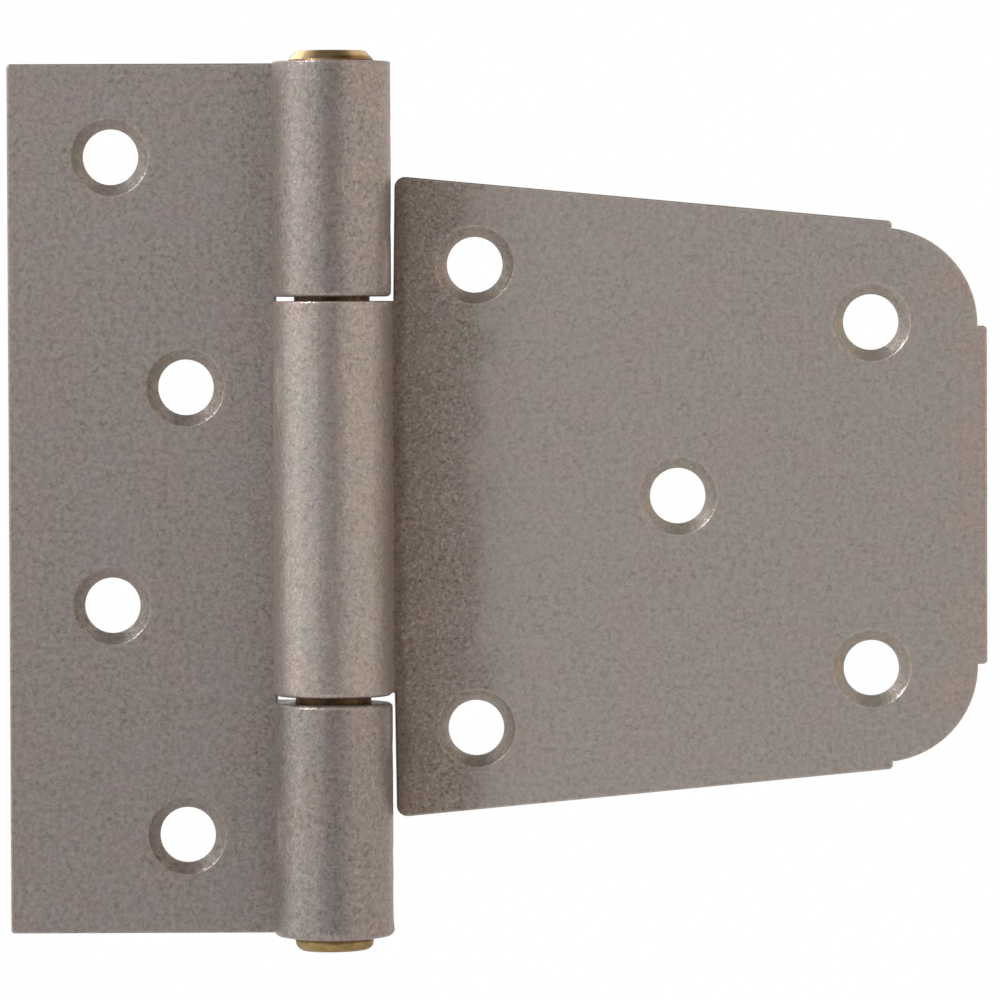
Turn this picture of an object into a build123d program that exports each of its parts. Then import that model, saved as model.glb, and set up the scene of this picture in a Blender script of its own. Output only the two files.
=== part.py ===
"""Gate T hinge: a tall post leaf, a tapered gate leaf and one riveted pin.

Both leaves are blanked from one gauge of sheet and rolled round the pin, two knuckles on the post
leaf and one on the gate leaf. They lie open and flat. The leaves' backs share one mounting plane,
Y = 0, and the knuckles stand proud of the front, towards -Y. +Z runs up the pin, and +X towards
the gate. The origin is on the mounting plane, directly behind the pin's axis and halfway up the
gate leaf. The post leaf and its pin hang a little lower, by some of the play between knuckles.
Units are mm.
"""

import os
from math import asin, cos, sin

from build123d import *

# ---- Driving dimensions ----
LEAF_HEIGHT = 88.9  # post leaf, 3 1/2 in
SHEET = 2.1  # gauge of both leaves
PIN_RADIUS = 3.85
RUNNING_CLEARANCE = 0.1  # radial, pin to knuckle
SEAM_GAP = 0.2  # between a rolled edge and its own leaf
POST_REACH = 33.2  # pin axis to the post leaf's free edge
GATE_REACH = 66.8  # pin axis to the gate leaf's end
MIDDLE_KNUCKLE = 40.1  # length along the pin
KNUCKLE_GAP = 0.57  # between neighbouring knuckles, if both gaps were the same
POST_DROP = 0.13  # how far the post leaf and the pin hang below that
NOTCH_REACH = 5.8  # pin axis to the post leaf's notch, behind the middle knuckle

# Gate leaf outline. It is symmetric about the X axis, so its Z values are half heights
NECK_REACH = 6.16  # pin axis to the shoulders, where they leave the middle knuckle
SHOULDER_REACH = 6.34  # pin axis to the shoulders' outer corners
SHOULDER_HALF_HEIGHT = 32.8
END_HALF_HEIGHT = 27.1  # where the long edges would reach the end, but for the cropped corners
SHOULDER_ROUND = 1.1
CROP_START = 57.1  # X where each far corner's crop steps in from the long edge
CROP_FINISH = 17.3  # Z where it steps back out to the end
CORNER_CENTRE = (55.9, 17.4)
CORNER_RADIUS = 9.94
STEP_ROUND = 0.45

# Countersunk screw holes, X and Z
HOLE_RADIUS = 2.85
SINK_RADIUS = 4.0
SINK_ANGLE = 82  # degrees
POST_FAR, POST_NEAR = -22.7, -15.1  # the post leaf's two staggered columns
POST_OUTER, POST_INNER = 34.7, 11.15  # its rows, above and below the pattern's middle
POST_RISE = 0.25  # the pattern's middle above the leaf's
POST_HOLES = [
    (POST_FAR, POST_RISE + POST_OUTER),
    (POST_NEAR, POST_RISE + POST_INNER),
    (POST_FAR, POST_RISE - POST_INNER),
    (POST_NEAR, POST_RISE - POST_OUTER),
]
GATE_HOLES = [(14.5, 23.7), (14.5, -23.7), (35.2, 0), (55.0, 17.7), (55.0, -17.7)]

# Edge breaks
CRISP_END = 0.2  # knuckle ends left nearly square
EASED_END = 0.5  # knuckle ends rounded over
PLATE_CORNER = 0.35  # post leaf's free corners
FRONT_EDGE = 0.25  # rolled over by blanking
SINK_EDGE = 0.15

# Pin ends: a formed head on top, a peened one below
HEAD_RADIUS = 4.33
HEAD_RIM = 0.2
HEAD_HEIGHT = 1.1
HEAD_FLAT = 3.5  # radius
HEAD_ROUND = 0.3
PEEN_RADIUS = 4.05
PEEN_HEIGHT = 1.55
PEEN_CROWN = 0.2  # rise of its domed end
PEEN_ROUND = 0.6

# ---- Worked out from the above ----
BORE_RADIUS = PIN_RADIUS + RUNNING_CLEARANCE
BARREL_RADIUS = BORE_RADIUS + SHEET
AXIS_Y = -BARREL_RADIUS
HALF_HEIGHT = LEAF_HEIGHT / 2
HALF_MIDDLE = MIDDLE_KNUCKLE / 2
OUTER_START = HALF_MIDDLE + KNUCKLE_GAP
FRONT_PLANE = Plane.XZ.offset(SHEET)
TOWARDS_POST, TOWARDS_GATE = -1, 1


def rolled_profile(side, reach):
    """A leaf's cross-section: flat sheet out to reach, and its roll round the pin."""
    axis = Vector(0, AXIS_Y)
    front = Vector(0, -1)
    # The rolled edge comes back round to its own leaf, and stops SEAM_GAP short of its front.
    seam_angle = asin((BORE_RADIUS - SEAM_GAP) / BARREL_RADIUS)
    seam = Vector(side * cos(seam_angle), sin(seam_angle))
    with BuildSketch() as profile:
        with BuildLine():
            outer = ThreePointArc(
                (0, 0), axis + BARREL_RADIUS * front, axis + BARREL_RADIUS * seam
            )
            inner = ThreePointArc(
                (0, -SHEET), axis + BORE_RADIUS * front, axis + BORE_RADIUS * seam
            )
            Line(outer @ 1, inner @ 1)
            Polyline(outer @ 0, (side * reach, 0), (side * reach, -SHEET), inner @ 0)
        make_face()
    return profile.sketch


def circles(leaf, radius):
    """A leaf's circular edges of one radius, from the bottom up."""
    edges = leaf.edges().filter_by(GeomType.CIRCLE)
    return edges.filter_by(lambda edge: abs(edge.radius - radius) < 0.001).sort_by(Axis.Z)


def front_outline(leaf):
    """The edges of a leaf's flat front, but for the lines where its roll begins."""
    front = leaf.faces().filter_by(Plane.XZ).sort_by(Axis.Y)[0]
    return front.outer_wire().edges().filter_by(lambda edge: abs(edge.center().X) > 0.001)


# ---- Post leaf ----
with BuildPart() as post_leaf:
    with BuildSketch(Plane.XY.offset(OUTER_START)):
        add(rolled_profile(TOWARDS_POST, POST_REACH))
    extrude(amount=HALF_HEIGHT - OUTER_START)
    mirror(about=Plane.XY)
    with BuildSketch(Plane.XZ):
        with Locations((-NOTCH_REACH, 0)):
            Rectangle(POST_REACH - NOTCH_REACH, LEAF_HEIGHT, align=(Align.MAX, Align.CENTER))
    extrude(amount=SHEET)

    fillet(circles(post_leaf, BARREL_RADIUS)[-1], CRISP_END)
    fillet(circles(post_leaf, BARREL_RADIUS)[:-1], EASED_END)
    fillet(post_leaf.edges().filter_by(Axis.Y).group_by(Axis.X)[0], PLATE_CORNER)
    fillet(front_outline(post_leaf), FRONT_EDGE)

    with Locations(FRONT_PLANE):
        with Locations(*POST_HOLES):
            CounterSinkHole(HOLE_RADIUS, SINK_RADIUS, counter_sink_angle=SINK_ANGLE)
    fillet(circles(post_leaf, SINK_RADIUS), SINK_EDGE)

# ---- Gate leaf ----
with BuildPart() as gate_leaf:
    # The upper half of the flat, mirrored
    with BuildSketch(Plane.XZ):
        with BuildLine():
            Polyline(
                (NECK_REACH, 0),
                (NECK_REACH, HALF_MIDDLE),
                (SHOULDER_REACH, SHOULDER_HALF_HEIGHT),
                (GATE_REACH, END_HALF_HEIGHT),
                (GATE_REACH, 0),
                close=True,
            )
        make_face()
        fillet(vertices().sort_by(Axis.Y)[-1], SHOULDER_ROUND)
        # The far corner is cropped square, then rounded out again inside both of its edges.
        with Locations((CROP_START, CROP_FINISH)):
            Rectangle(CORNER_RADIUS, 2 * CORNER_RADIUS, align=Align.MIN, mode=Mode.SUBTRACT)
        long_edge_step = vertices().sort_by_distance((CROP_START, END_HALF_HEIGHT))[0]
        end_step = vertices().sort_by_distance((GATE_REACH, CROP_FINISH))[0]
        fillet([long_edge_step, end_step], STEP_ROUND)
        with Locations(CORNER_CENTRE):
            Circle(CORNER_RADIUS)
        mirror(about=Plane.XZ)
    extrude(amount=SHEET)
    with BuildSketch():
        add(rolled_profile(TOWARDS_GATE, NECK_REACH))
    extrude(amount=HALF_MIDDLE, both=True)

    fillet(circles(gate_leaf, BARREL_RADIUS)[-1], CRISP_END)
    fillet(circles(gate_leaf, BARREL_RADIUS)[0], EASED_END)
    fillet(front_outline(gate_leaf), FRONT_EDGE)

    with Locations(FRONT_PLANE):
        with Locations(*GATE_HOLES):
            CounterSinkHole(HOLE_RADIUS, SINK_RADIUS, counter_sink_angle=SINK_ANGLE)
    fillet(circles(gate_leaf, SINK_RADIUS), SINK_EDGE)

# ---- Hinge pin ----
with BuildPart() as hinge_pin:
    # Half of its length section, with the pin's axis as the sketch's Y axis
    with BuildSketch(Plane.XZ.offset(BARREL_RADIUS)):
        with BuildLine():
            top = HALF_HEIGHT + HEAD_HEIGHT
            bottom = -HALF_HEIGHT - PEEN_HEIGHT
            crown = SagittaArc((0, bottom), (PEEN_RADIUS, bottom + PEEN_CROWN), -PEEN_CROWN / 4)
            Polyline(
                crown @ 1,
                (PEEN_RADIUS, -HALF_HEIGHT),
                (PIN_RADIUS, -HALF_HEIGHT),
                (PIN_RADIUS, HALF_HEIGHT),
                (HEAD_RADIUS, HALF_HEIGHT),
                (HEAD_RADIUS, HALF_HEIGHT + HEAD_RIM),
                (HEAD_FLAT, top),
                (0, top),
                crown @ 0,
            )
        make_face()
        fillet(vertices().sort_by_distance((HEAD_FLAT, top))[0], HEAD_ROUND)
        fillet(vertices().sort_by_distance((PEEN_RADIUS, bottom + PEEN_CROWN))[0], PEEN_ROUND)
    revolve(axis=Axis((0, AXIS_Y, 0), (0, 0, 1)))

# ---- Export ----
hang = Pos(0, 0, -POST_DROP)
solids = {
    "post_leaf": hang * post_leaf.part,
    "gate_leaf": gate_leaf.part,
    "hinge_pin": hang * hinge_pin.part,
}
os.makedirs("parts", exist_ok=True)
for name, solid in solids.items():
    solid.label = name
    export_step(solid, f"parts/{name}.step")
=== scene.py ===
"""T hinge for a gate: the looks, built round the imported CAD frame.

The frame's axes: +Z runs up the pin, +X towards the gate, and -Y out of the leaves' fronts, to
the camera. Lengths are metres, and MM turns millimetres into them.
"""

from math import cos, radians

import bmesh
import bpy
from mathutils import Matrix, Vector, noise


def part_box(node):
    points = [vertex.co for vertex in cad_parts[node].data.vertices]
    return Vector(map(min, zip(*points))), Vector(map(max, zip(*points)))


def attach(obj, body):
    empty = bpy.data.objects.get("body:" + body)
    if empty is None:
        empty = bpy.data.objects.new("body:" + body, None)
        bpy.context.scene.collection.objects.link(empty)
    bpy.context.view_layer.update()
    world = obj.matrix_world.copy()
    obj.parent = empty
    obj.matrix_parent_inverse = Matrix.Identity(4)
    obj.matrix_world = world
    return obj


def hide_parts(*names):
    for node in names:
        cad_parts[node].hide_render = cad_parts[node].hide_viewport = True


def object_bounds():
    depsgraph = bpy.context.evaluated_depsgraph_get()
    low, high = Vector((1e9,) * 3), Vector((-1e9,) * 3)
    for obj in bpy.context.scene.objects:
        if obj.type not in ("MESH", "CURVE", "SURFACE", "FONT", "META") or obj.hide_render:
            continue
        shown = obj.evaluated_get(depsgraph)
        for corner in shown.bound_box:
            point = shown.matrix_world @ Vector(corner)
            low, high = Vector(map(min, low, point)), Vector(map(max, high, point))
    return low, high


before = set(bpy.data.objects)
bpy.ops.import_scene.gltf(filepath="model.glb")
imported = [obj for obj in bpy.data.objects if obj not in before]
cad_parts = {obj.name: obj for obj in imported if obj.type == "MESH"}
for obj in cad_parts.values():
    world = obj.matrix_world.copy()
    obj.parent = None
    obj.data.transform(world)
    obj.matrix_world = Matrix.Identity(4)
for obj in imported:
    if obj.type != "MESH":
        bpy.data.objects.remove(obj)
cad_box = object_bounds()

MM = 0.001

# Places on the hinge, all but the gauge read from the frame
post_low, post_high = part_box("post_leaf")
gate_low, gate_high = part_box("gate_leaf")
pin_low, pin_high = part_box("hinge_pin")
BARREL = gate_low.x * -1  # the knuckles' outer radius
AXIS = Vector((0, -BARREL, 0))  # the pin's axis runs up through here
HEAD = (pin_high.x - pin_low.x) / 2  # radius of the pin's formed head
SHEET = 2.1 * MM  # gauge of both leaves


# ---- Node helpers ----
# Sockets of a Mix node that mixes colours
MIX_SHARE, MIX_FIRST, MIX_SECOND, MIX_RESULT = 0, 6, 7, 2


class Tree:
    """A material's or the world's node tree, with short calls to add to it."""

    def __init__(self, owner):
        owner.use_nodes = True
        self.tree = owner.node_tree
        self.tree.nodes.clear()

    def add(self, kind, inputs=(), **settings):
        node = self.tree.nodes.new(kind)
        for name, value in settings.items():
            setattr(node, name, value)
        for name, value in dict(inputs).items():
            self.feed(node, name, value)
        return node

    def feed(self, node, name, value):
        """Gives a node's input a constant, or links another node's output to it."""
        if isinstance(value, bpy.types.NodeSocket):
            self.tree.links.new(value, node.inputs[name])
        else:
            node.inputs[name].default_value = value

    def math(self, operation, a, b):
        return self.add("ShaderNodeMath", {0: a, 1: b}, operation=operation).outputs[0]

    def plus(self, a, b):
        return self.math("ADD", a, b)

    def minus(self, a, b):
        return self.math("SUBTRACT", a, b)

    def times(self, a, b):
        return self.math("MULTIPLY", a, b)

    def most(self, a, b):
        return self.math("MAXIMUM", a, b)

    def rescale(self, value, low, high, to_low=0.0, to_high=1.0):
        """value's span from low to high, eased onto another span and held at its ends."""
        inputs = {"Value": value, "From Min": low, "From Max": high}
        inputs.update({"To Min": to_low, "To Max": to_high})
        return self.add("ShaderNodeMapRange", inputs, interpolation_type="SMOOTHSTEP").outputs[0]

    def shifted(self, where, seed):
        """where, moved by seed centimetres, far enough that another pattern is found there."""
        apart = [seed * share * 10 * MM for share in (1, 0.7, -1.3)]
        return self.add("ShaderNodeVectorMath", {0: where, 1: apart}, operation="ADD").outputs[0]

    def noise(self, where, size, detail, seed, roughness=0.5, distortion=0.0):
        """Smooth noise from 0 to 1, about size metres from one light patch to the next."""
        inputs = {"Vector": self.shifted(where, seed), "Scale": 1 / size, "Detail": detail}
        inputs.update({"Roughness": roughness, "Distortion": distortion})
        return self.add("ShaderNodeTexNoise", inputs).outputs[0]

    def mix(self, share, a, b, blend="MIX"):
        node = self.add("ShaderNodeMix", data_type="RGBA", blend_type=blend)
        for index, value in ((MIX_SHARE, share), (MIX_FIRST, a), (MIX_SECOND, b)):
            self.feed(node, index, value)
        return node.outputs[MIX_RESULT]

    def scaled(self, share, colour, factor):
        """colour, times factor where share is 1."""
        return self.mix(share, colour, (*factor, 1.0), "MULTIPLY")


def grey(value):
    return (value, value, value, 1.0)


# ---- Materials ----
PURPLE_GREY = (0.515, 0.452, 0.434, 1.0)
OLIVE_GREY = (0.498, 0.458, 0.408, 1.0)
RUSSET = (0.532, 0.448, 0.410, 1.0)
BARE_ZINC = (0.80, 0.75, 0.71, 1.0)
BRASS = (0.84, 0.62, 0.34, 1.0)
WORN_BRASS = (0.46, 0.32, 0.14, 1.0)
GRIMY_BRASS = (0.24, 0.16, 0.07, 1.0)
# Painted shade: the pin's shank inside the knuckles, seen only in the gaps between them
BRASS_IN_SHADE = (0.34, 0.22, 0.10, 1.0)
BRASS_IN_DEEP_SHADE = (0.10, 0.065, 0.035, 1.0)

# Where each of the steel's masks begins, and where it is whole
FRONT_Y = (-0.9 * MM, -1.7 * MM)
KNUCKLE_Y = (-2.3 * MM, -2.8 * MM)
GATE_SIDE_X = (BARREL * 0.97, BARREL * 1.03)
POST_SIDE_X = (-6.1 * MM, -6.4 * MM)
STRAP_X = (16.8 * MM, 12.6 * MM)
INNER_X = (12.5 * MM, 8.5 * MM)
SEAM_X = (7.8 * MM, 6.8 * MM)
NEAR_POST_X = (-13 * MM, -7 * MM)
FAR_GATE_X = (gate_high.x - 6 * MM, gate_high.x - 1 * MM)
FAR_POST_X = (post_low.x + 5 * MM, post_low.x + 1 * MM)
SLANT = (-0.985, -0.93)  # Y of the surface's normal, which is -1 on a flat front
WANDERING = 1.6 * MM  # how far a soiled patch's edge strays either way
RAGGED = 0.5 * MM  # and how far the seam's does
MOST_NOISE = (0.3, 0.7)  # nearly all of a noise lies between these

# From one light patch to the next
WANDER_SIZE = 6 * MM
DRIFT_SIZE = 3.5 * MM
STAIN_SIZE = 1.6 * MM
MOTTLE_SIZE = 0.58 * MM
GRAIN_SIZE = 0.34 * MM

# How strong the steel's patterns are
MOTTLE_DEPTH = 0.30
MARKED = (0.83, 0.82, 0.82)
PITTED = (0.55, 0.53, 0.52)
FLECKED, LESS_ON_SEAM = 0.38, 0.25
POST_BUSY = (0.25, 0.75)  # away from the knuckles, and beside the post's
BARREL_BUSY = 0.72

STEEL_METALLIC = 0.75
STEEL_BUMP = 0.09 * MM
STEEL_ROUGHNESS, BURNISHED_ROUGHNESS = 0.46, 0.30
PIN_BUMP = 0.03 * MM
PIN_ROUGHNESS, POLISHED_ROUGHNESS = 0.34, 0.20


def galvanised_steel(name, tint, foot, mottling):
    """Dull zinc on rolled sheet, soiled beside the knuckles, with a painted shadow of the gate's
    knuckle beside it.

    Its lower end is foot times as bright, and mottling is how strong its mottle and marks are.
    """
    material = bpy.data.materials.new(name)
    tree = Tree(material)
    place = tree.add("ShaderNodeTexCoord")
    where = place.outputs["Object"]
    along = tree.add("ShaderNodeSeparateXYZ", {0: where})
    x, y, z = (along.outputs[i] for i in range(3))
    facing = tree.add("ShaderNodeSeparateXYZ", {0: place.outputs["Normal"]}).outputs[1]

    # Masks. On the gate's front, strap is the sheet beside the knuckle, inner the nearer half of
    # it, and seam the strip where the knuckle closes. near_post is the post's front beside its
    # knuckles, barrel the knuckles, slanted the countersinks and rolled edges, and outer both
    # leaves' far ends. busy is how strongly the grain shows
    wander = tree.noise(where, WANDER_SIZE, detail=3.0, roughness=0.6, seed=2.0)
    wandering_x = tree.plus(x, tree.rescale(wander, *MOST_NOISE, -WANDERING, WANDERING))
    front = tree.rescale(y, *FRONT_Y)
    front_gate = tree.times(front, tree.rescale(x, *GATE_SIDE_X))
    front_post = tree.times(front, tree.rescale(x, *POST_SIDE_X))
    strap = tree.times(tree.rescale(wandering_x, *STRAP_X), front_gate)
    inner = tree.times(tree.rescale(wandering_x, *INNER_X), front_gate)
    ragged_x = tree.plus(x, tree.rescale(wander, *MOST_NOISE, -RAGGED, RAGGED))
    seam = tree.times(tree.rescale(ragged_x, *SEAM_X), front_gate)
    near_post = tree.times(tree.rescale(wandering_x, *NEAR_POST_X), front_post)
    barrel = tree.rescale(y, *KNUCKLE_Y)
    slanted = tree.rescale(facing, *SLANT)
    far_gate = tree.rescale(wandering_x, *FAR_GATE_X)
    outer = tree.most(far_gate, tree.rescale(wandering_x, *FAR_POST_X))
    busy = tree.most(strap, tree.rescale(near_post, 0.0, 1.0, *POST_BUSY))
    busy = tree.most(busy, tree.times(barrel, BARREL_BUSY))

    # Colour: drifting greys, russet here and there, a soft mottle, and dark marks in groups
    drift = tree.noise(where, DRIFT_SIZE, detail=4.0, roughness=0.7, seed=6.0)
    colour = tree.mix(tree.rescale(drift, 0.36, 0.64), PURPLE_GREY, OLIVE_GREY)
    stained = tree.most(tree.times(outer, 0.10), tree.times(busy, 0.05))
    russet = tree.rescale(tree.plus(wander, stained), 0.52, 0.68)
    colour = tree.mix(russet, colour, RUSSET)
    mottle = tree.noise(
        where, MOTTLE_SIZE, detail=4.0, roughness=0.78, seed=9.0, distortion=0.4
    )
    depth = 1.0 - mottling * MOTTLE_DEPTH
    colour = tree.scaled(tree.rescale(mottle, 0.66, 0.32), colour, (depth, depth, depth))
    marks = tree.times(tree.rescale(mottle, 0.48, 0.34), tree.rescale(drift, 0.44, 0.60))
    colour = tree.scaled(tree.times(marks, mottling), colour, MARKED)

    # Beside the knuckles: the post's front a shade soiled; the gate's strap soiled and darkened
    # by a painted shadow of its knuckle, deeper on the nearer half and darkest as painted shadow
    # in the seam strip; the knuckles a shade darker, the gate's far end a little brighter and
    # warmer, and the countersinks and rolled edges painted lighter as painted light
    for mask, factor in (
        (barrel, (0.97, 0.96, 0.97)),
        # soiling plus a painted shadow of the knuckle on the strap
        (strap, (0.80, 0.76, 0.72)),
        # painted shadow, deeper nearer the knuckle
        (inner, (0.92, 0.90, 0.875)),
        (near_post, (0.99, 0.985, 0.98)),
        # painted shadow in the seam strip beside the knuckle
        (seam, (0.76, 0.73, 0.69)),
        (far_gate, (1.035, 1.015, 0.99)),
        # painted light: countersinks and rolled edges painted a little lighter
        (slanted, (1.05, 1.05, 1.0)),
    ):
        colour = tree.scaled(mask, colour, factor)

    # A fine, hard grain where it is busy: pale flecks, fainter on the seam, and dark pits
    grain = tree.noise(where, GRAIN_SIZE, detail=2.0, roughness=0.75, seed=21.0)
    flecks = tree.times(tree.rescale(grain, 0.53, 0.70), busy)
    pits = tree.times(tree.rescale(grain, 0.46, 0.30), busy)
    flecks = tree.times(flecks, tree.minus(FLECKED, tree.times(seam, LESS_ON_SEAM)))
    colour = tree.mix(flecks, colour, BARE_ZINC)
    colour = tree.scaled(pits, colour, PITTED)
    low = tree.rescale(z, post_high.z, post_low.z)
    colour = tree.mix(1.0, colour, (*tint, 1.0), "MULTIPLY")
    colour = tree.scaled(low, colour, (foot, foot, foot))

    # Relief and sheen: the rolled knuckles and pressed edges are a little burnished
    ripples = tree.times(tree.minus(drift, 0.5), tree.times(barrel, 0.6))
    relief = tree.plus(tree.times(mottle, 0.6), tree.times(grain, 0.4))
    relief = tree.plus(relief, ripples)
    bump = tree.add("ShaderNodeBump", {"Height": relief, "Distance": STEEL_BUMP, "Strength": 0.8})
    burnished = tree.most(barrel, slanted)
    roughness = tree.rescale(burnished, 0.0, 1.0, STEEL_ROUGHNESS, BURNISHED_ROUGHNESS)
    shader = tree.add("ShaderNodeBsdfPrincipled", {"Metallic": STEEL_METALLIC})
    tree.feed(shader, "Base Color", colour)
    tree.feed(shader, "Roughness", tree.minus(roughness, tree.times(flecks, 0.35)))
    tree.feed(shader, "Normal", bump.outputs[0])
    tree.add("ShaderNodeOutputMaterial", {"Surface": shader.outputs[0]})
    return material


def plated_pin():
    """Brass plating: polished on the head, duller on the foot, and painted dark as painted shade
    inside the knuckles.
    """
    material = bpy.data.materials.new("plated_pin")
    tree = Tree(material)
    where = tree.add("ShaderNodeTexCoord").outputs["Object"]
    along = tree.add("ShaderNodeSeparateXYZ", {0: where})
    x, z = along.outputs[0], along.outputs[2]
    head = tree.rescale(z, post_high.z - 0.3 * MM, post_high.z + 0.1 * MM)
    foot = tree.rescale(z, post_low.z + 0.3 * MM, post_low.z - 0.1 * MM)
    stain = tree.noise(where, STAIN_SIZE, detail=3.0, seed=8.0)
    stained = tree.rescale(stain, 0.35, 0.7)
    # Painted shade on the shank inside the knuckles, dark brown in patches
    shank_in_shade = tree.mix(tree.rescale(stain, 0.5, 0.7), BRASS_IN_DEEP_SHADE, BRASS_IN_SHADE)
    worn = tree.mix(stained, WORN_BRASS, GRIMY_BRASS)

    # The head is darker low down on its right
    bright = tree.scaled(stained, BRASS, (0.88, 0.84, 0.78))
    rim = tree.rescale(z, post_high.z + 0.75 * MM, post_high.z + 0.35 * MM)
    tarnished = tree.times(rim, tree.rescale(x, -0.5 * MM, 1.5 * MM))
    bright = tree.scaled(tarnished, bright, (0.42, 0.30, 0.20))
    colour = tree.mix(head, tree.mix(foot, shank_in_shade, worn), bright)

    bump = tree.add("ShaderNodeBump", {"Height": stain, "Distance": PIN_BUMP, "Strength": 0.5})
    shader = tree.add("ShaderNodeBsdfPrincipled", {"Metallic": 1.0})
    tree.feed(shader, "Base Color", colour)
    roughness = tree.rescale(head, 0.0, 1.0, PIN_ROUGHNESS, POLISHED_ROUGHNESS)
    tree.feed(shader, "Roughness", roughness)
    tree.feed(shader, "Normal", bump.outputs[0])
    tree.add("ShaderNodeOutputMaterial", {"Surface": shader.outputs[0]})
    return material


# ---- Detailed meshes in place of the CAD ones ----
LEAF_CELL = 0.7 * MM
PIN_CELL = 20 * MM  # only its ends are reshaped, so it is hardly cut
SAME_POINT = 1e-7
SAME_PLANE = radians(0.05)
SHARP_EDGE = radians(38)


def detailed(node, body, material, relief, cell):
    """A copy of a CAD node's mesh, cut into cells and shaped by relief, to stand for it."""
    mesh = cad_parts[node].data.copy()
    piece = bpy.data.objects.new(node + "_detailed", mesh)
    bpy.context.scene.collection.objects.link(piece)
    low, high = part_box(node)
    work = bmesh.new()
    work.from_mesh(mesh)
    bmesh.ops.remove_doubles(work, verts=work.verts, dist=SAME_POINT)
    bmesh.ops.dissolve_limit(work, angle_limit=SAME_PLANE, verts=work.verts, edges=work.edges)
    for axis in (0, 2):
        direction = Vector([float(i == axis) for i in range(3)])
        count = int((high[axis] - low[axis]) / cell)
        for i in range(1, count + 1):
            point = direction * (low[axis] + (high[axis] - low[axis]) * i / (count + 1))
            everything = [*work.verts, *work.edges, *work.faces]
            bmesh.ops.bisect_plane(
                work, geom=everything, dist=SAME_POINT, plane_co=point, plane_no=direction
            )
    bmesh.ops.triangulate(work, faces=[f for f in work.faces if len(f.verts) > 4])
    for vertex in work.verts:
        vertex.co += relief(vertex.co)
    work.to_mesh(mesh)
    work.free()
    mesh.shade_smooth()
    mesh.set_sharp_from_angle(angle=SHARP_EDGE)
    mesh.materials.clear()
    mesh.materials.append(material)
    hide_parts(node)
    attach(piece, body)
    return piece


def smooth_step(value, low, high):
    share = min(max((value - low) / (high - low), 0.0), 1.0)
    return share * share * (3 - 2 * share)


WAVE_LENGTH = 9 * MM
WAVE_DEPTH = 0.05 * MM  # the sheet's slow unevenness
DENT_SPACING = 2.2 * MM
DENT_DEPTH = 0.035 * MM  # small hollows from handling and hot dipping
DENT_PLACES = Vector((40, 0, 0))  # moves their pattern away from the waves'
UPSET = 0.18 * MM  # the lowest knuckle, lengthened by riveting,
DOME = 0.45 * MM  # rounded over,
FLARE = 0.12 * MM  # and spread sideways
TAPER = 0.45 * MM  # the peened foot of the pin, narrower by up to this,
LEAN = 0.12 * MM  # and higher by this on its right


def sheet_relief(co):
    """How a point on a leaf's front or roll moves inwards, in slow waves and small dents."""
    wave = 0.5 + 0.5 * noise.noise(co / WAVE_LENGTH)
    dent = max(0.0, noise.noise(co / DENT_SPACING + DENT_PLACES) - 0.1) / 0.5
    around = Vector((co.x, co.y - AXIS.y, 0))
    rolled = smooth_step(co.y, -SHEET - 0.1 * MM, -SHEET - 0.6 * MM)
    skin = smooth_step(around.length, BARREL - 0.6 * MM, BARREL - 0.2 * MM)
    into_barrel = around.normalized() * -skin * rolled
    into_flat = Vector((0, min(max(co.y / -SHEET, 0.0), 1.0) * (1 - rolled), 0))
    return (into_barrel + into_flat) * (WAVE_DEPTH * wave + DENT_DEPTH * dent)


def post_relief(co):
    """The sheet's relief, and the lowest knuckle's end as riveting has left it."""
    around = Vector((co.x, co.y - AXIS.y, 0))
    end = smooth_step(co.z, post_low.z + 2.0 * MM, post_low.z + 0.3 * MM)
    end *= smooth_step(co.y, -SHEET - 0.1 * MM, -SHEET - 1.5 * MM)
    outward = smooth_step(around.length, HEAD * 0.95, BARREL * 1.1)
    spread = around.normalized() * FLARE * outward * end * (co.x / BARREL) ** 2
    return sheet_relief(co) + spread + Vector((0, 0, (DOME * outward - UPSET) * end))


def pin_relief(co):
    """The peened foot narrows downwards, most on its left, and its right side is higher."""
    end = smooth_step(co.z, post_low.z - 0.2 * MM, pin_low.z)
    side = co.x / HEAD
    narrower = Vector((co.x, co.y - AXIS.y, 0)) * (TAPER / HEAD) * end * (0.75 - 0.25 * side)
    return Vector((0, 0, LEAN * end * (1 + side) / 2)) - narrower


post_steel = galvanised_steel(
    "galvanised_steel_post", tint=(0.985, 0.97, 0.985), foot=0.88, mottling=1.0
)
gate_steel = galvanised_steel(
    "galvanised_steel_gate", tint=(1.11, 1.105, 1.11), foot=0.98, mottling=0.8
)
brass = plated_pin()
post = detailed("post_leaf", "post", post_steel, post_relief, LEAF_CELL)
gate = detailed("gate_leaf", "gate", gate_steel, sheet_relief, LEAF_CELL)
pin = detailed("hinge_pin", "post", brass, pin_relief, PIN_CELL)

# ---- Camera ----
CAMERA_FROM_FACE = 700 * MM  # a long lens, well back
CAMERA_ABOVE_TARGET = 21.4 * MM
ROLL = radians(-0.21)  # the photo's hinge leans a hair
LENS = 246
SENSOR_WIDTH = 36

low, high = cad_box
TARGET = Vector(((low.x + high.x) / 2 + 0.2 * MM, 0, -0.4 * MM))

camera = bpy.data.objects.new("camera", bpy.data.cameras.new("camera"))
bpy.context.scene.collection.objects.link(camera)
camera.data.sensor_width = SENSOR_WIDTH
camera.data.lens = LENS
camera.location = TARGET + Vector((0, -CAMERA_FROM_FACE, CAMERA_ABOVE_TARGET))
camera.rotation_euler = (TARGET - camera.location).to_track_quat("-Z", "Y").to_euler()
camera.rotation_euler.rotate_axis("Z", ROLL)
bpy.context.scene.camera = camera

# ---- Surroundings ----
LIGHT_DISTANCE = 0.8
LIT_POINT = Vector((5 * MM, AXIS.y, 0))  # near the hinge's middle

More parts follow.
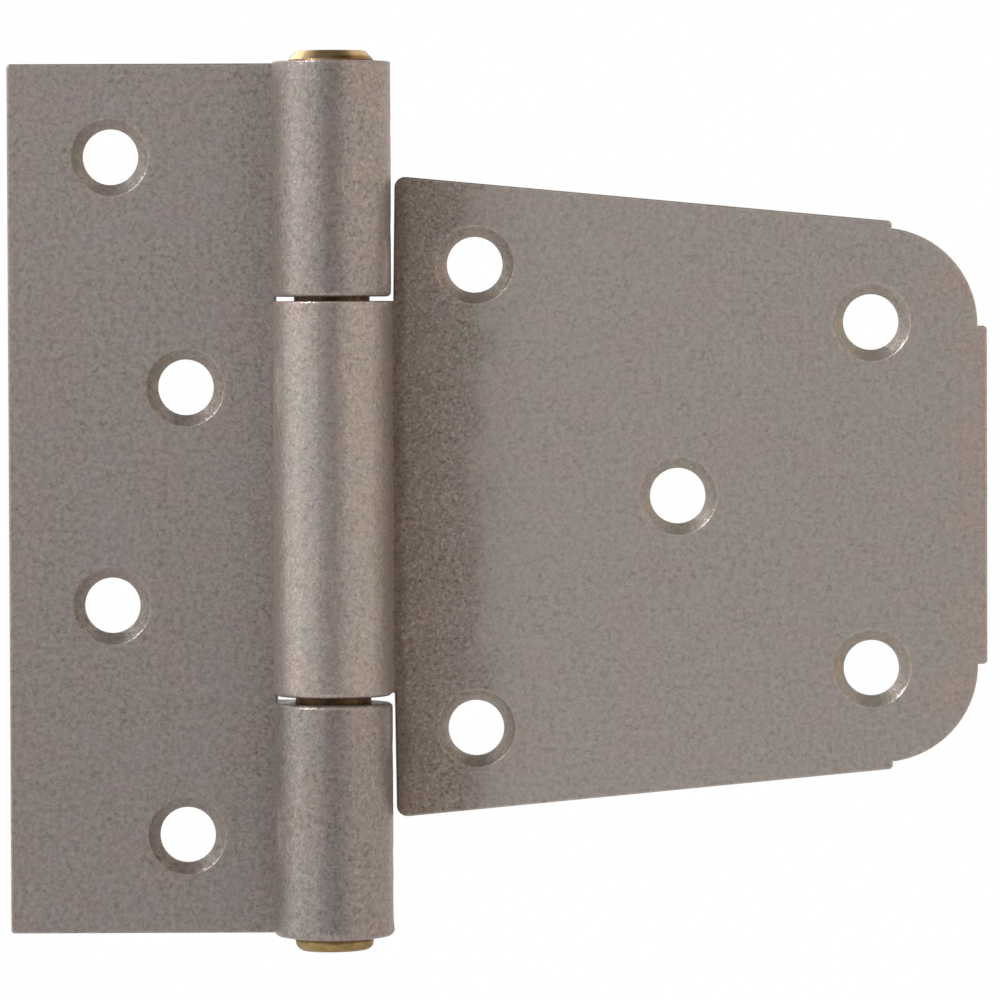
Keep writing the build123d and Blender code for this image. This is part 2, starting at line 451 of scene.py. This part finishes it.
# Direction from the lit point, width, height, watts and colour
SOFTBOXES = {
    "key_softbox": ((-0.65, -0.42, 0.63), 0.15, 0.15, 2.1, (0.98, 0.96, 1.0)),
    "strip_softbox": ((-0.93, -0.31, 0.17), 0.08, 0.9, 0.22, (1.0, 0.98, 0.98)),
    "wide_softbox": ((-0.96, 0.22, 0.17), 0.9, 0.9, 0.34, (0.84, 0.90, 1.0)),
    "rim_softbox": ((-0.50, 0.70, 0.50), 0.5, 0.5, 0.7, (1.0, 1.0, 1.0)),
}

for name, (direction, width, height, watts, tint) in SOFTBOXES.items():
    light = bpy.data.lights.new(name, "AREA")
    light.shape = "RECTANGLE"
    light.size, light.size_y = width, height
    light.energy = watts
    light.color = tint
    box = bpy.data.objects.new(name, light)
    bpy.context.scene.collection.objects.link(box)
    box.location = LIT_POINT + Vector(direction).normalized() * LIGHT_DISTANCE
    box.rotation_euler = (LIT_POINT - box.location).to_track_quat("-Z", "Y").to_euler()

FLOOR_RADIUS = 0.8
FLOOR_DROP = 120 * MM  # below the pin's foot
FLOOR_GLOW = 0.4  # to the camera alone, so that the floor looks as pale as the backdrop

bpy.ops.mesh.primitive_circle_add(vertices=96, radius=FLOOR_RADIUS, fill_type="NGON")
floor = bpy.context.object
floor.name = "floor"
floor.location = (0, 0, pin_low.z - FLOOR_DROP)
pale = bpy.data.materials.new("pale_floor")
paint = Tree(pale)
matt = paint.add("ShaderNodeBsdfPrincipled", {"Base Color": grey(0.85), "Roughness": 0.9})
paint.feed(matt, "Emission Color", grey(1.0))
shown = paint.add("ShaderNodeLightPath").outputs["Is Camera Ray"]
paint.feed(matt, "Emission Strength", paint.times(shown, FLOOR_GLOW))
paint.add("ShaderNodeOutputMaterial", {"Surface": matt.outputs[0]})
floor.data.materials.append(pale)

# A white room, warmer on the right, darker where the camera stands and overhead
WALL = (0.69, 0.69, 0.69, 1.0)
WARM_WALL = (0.74, 0.69, 0.645, 1.0)
GAP_LEVEL = (0.18, 0.18, 0.18)

world = bpy.data.worlds.new("white_room")
bpy.context.scene.world = world
sky = Tree(world)
seen = sky.add("ShaderNodeLightPath").outputs["Is Camera Ray"]
generated = sky.add("ShaderNodeTexCoord").outputs["Generated"]
way = sky.add("ShaderNodeSeparateXYZ", {0: generated})
right = sky.rescale(way.outputs[0], 0.0, 0.5)
gap = sky.rescale(way.outputs[1], -cos(radians(30)), -cos(radians(5)))
overhead = sky.rescale(way.outputs[2], cos(radians(40)), cos(radians(18)))
walls = sky.mix(right, WALL, WARM_WALL)
dark = sky.most(gap, overhead)
room = sky.add("ShaderNodeBackground", {"Color": sky.scaled(dark, walls, GAP_LEVEL)})
backdrop = sky.add("ShaderNodeBackground", {"Color": grey(1.0)})
both = sky.add("ShaderNodeMixShader", {0: seen, 1: room.outputs[0], 2: backdrop.outputs[0]})
sky.add("ShaderNodeOutputWorld", {"Surface": both.outputs[0]})

bpy.context.scene.view_settings.view_transform = "Standard"
